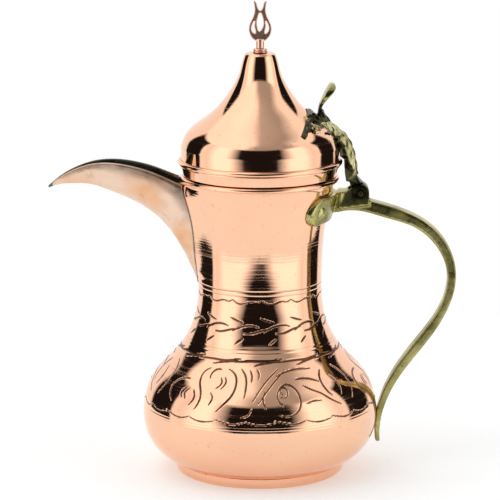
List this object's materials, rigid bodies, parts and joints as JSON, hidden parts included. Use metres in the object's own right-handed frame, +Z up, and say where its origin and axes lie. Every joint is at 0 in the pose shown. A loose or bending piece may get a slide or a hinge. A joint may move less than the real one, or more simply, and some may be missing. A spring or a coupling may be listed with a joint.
{
  "type": "dallah coffee pot",
  "caption": "Copper dallah coffee pot with a waisted neck, an open beak spout, a brass strap handle and a domed lid hinged over the handle.",
  "frame": {"origin": "on the pot's axis, at the plane that the foot stands on", "axes": "+Z up along the pot's axis, -X towards the spout, +X towards the handle, Y along the hinge pin"},
  "size_m": [0.2399, 0.139, 0.2796],
  "materials": {
    "copper_body": "polished",
    "copper_foot": "polished",
    "copper_lid": "polished",
    "copper_finial": "polished",
    "spout_copper": "satin",
    "tin_solder": "satin",
    "brass_cast": "aged satin",
    "brass_pin": "satin"
  },
  "bodies": {
    "pot": {"body_belly": "copper_body", "body_neck": "copper_body", "rim_wire": "copper_body", "bottom_plate": "copper_foot", "spout_beak": "spout_copper", "spout_solder_bead": "tin_solder", "handle_casting": "brass_cast", "handle_rivets": "brass_cast", "handle_rivet_washers": "brass_cast", "hinge_pin": "brass_pin"},
    "lid": {"lid_dome": "copper_lid", "lid_rim_band": "copper_lid", "lid_inner_collar": "copper_lid", "lid_arm": "brass_cast", "lid_arm_rivets": "brass_cast", "lid_arm_rivet_washers": "brass_cast", "finial_tulip": "copper_finial", "finial_collar": "copper_finial", "finial_washer": "brass_pin", "finial_nut": "brass_pin"}
  },
  "joints": [
    {"name": "lid_hinge", "type": "hinge", "parent": "pot", "child": "lid", "pos_m": [0.0587, 0, 0.1673], "axis": [0, 1, 0], "range_deg": [0, 108]}
  ]
}
